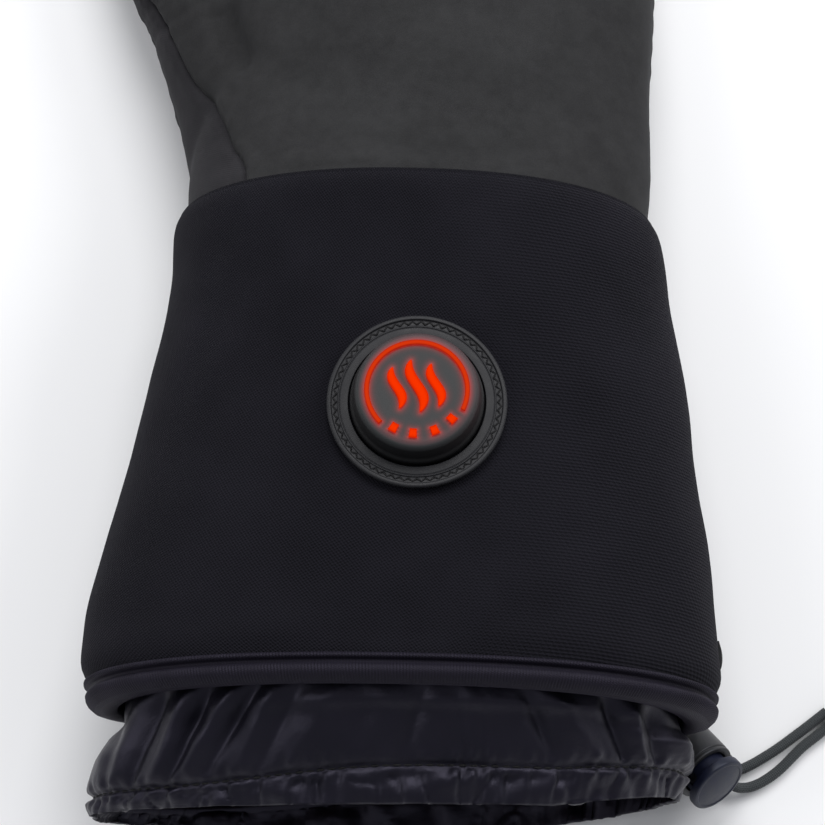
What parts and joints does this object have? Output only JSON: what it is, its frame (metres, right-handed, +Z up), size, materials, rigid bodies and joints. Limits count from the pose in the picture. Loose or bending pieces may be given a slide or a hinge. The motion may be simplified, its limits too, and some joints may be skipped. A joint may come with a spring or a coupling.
{
  "type": "heated glove",
  "caption": "Right-hand heated glove with a flared padded knit cuff, a lit push button on its back, a drawcord storm skirt and a sprung cord lock.",
  "frame": {"origin": "on the resting plane, under the centre of the heat button, on the flat underside of the cuff", "axes": "+Y from the open cuff to the fingertips, +Z up out of the back of the hand, +X to the little finger's side, so the thumb is on the -X side"},
  "size_m": [0.1914, 0.3334, 0.0835],
  "materials": {
    "softshell": "matte brushed softshell",
    "palm_fabric": "matte woven palm",
    "side_fabric": "matte stretch weave",
    "padded_knit": "fine ribbed knit over foam",
    "binding_tape": "ribbed elastic tape",
    "nylon": "semi-gloss taffeta",
    "lining_fleece": "brushed fleece",
    "tab_webbing": "woven tape",
    "silicone": "matte silicone",
    "silicone_cap": "matte silicone, lit from inside",
    "lit_symbol": "lit translucent",
    "lock_plastic": "satin moulded",
    "plunger_plastic": "satin moulded",
    "elastic_cord": "round braided elastic"
  },
  "bodies": {
    "glove": {"back_panel": "softshell", "palm_panel": "palm_fabric", "thumb_outer_gusset": "side_fabric", "thumb_index_gusset": "side_fabric", "fourchette_index_middle": "side_fabric", "fourchette_middle_ring": "side_fabric", "fourchette_ring_little": "side_fabric", "little_side_gusset": "side_fabric", "cuff": "padded_knit", "cuff_binding": "binding_tape", "storm_skirt": "nylon", "lining": "lining_fleece", "side_tab": "tab_webbing", "button_plate": "silicone", "button_cap": "silicone_cap", "power_ring": "lit_symbol", "heat_wave_1": "lit_symbol", "heat_wave_2": "lit_symbol", "heat_wave_3": "lit_symbol", "level_bar_1": "lit_symbol", "level_bar_2": "lit_symbol", "level_bar_3": "lit_symbol", "level_bar_4": "lit_symbol", "lock_barrel": "lock_plastic", "draw_cord_upper": "elastic_cord", "draw_cord_lower": "elastic_cord", "cord_knot": "elastic_cord"},
    "plunger": {"lock_plunger": "plunger_plastic"}
  },
  "joints": [
    {"name": "plunger_press", "type": "slide", "parent": "glove", "child": "plunger", "axis": [-0.5755, 0.6982, -0.4258], "range_m": [0, 0.0022], "stiffness_N_per_m": 400}
  ]
}
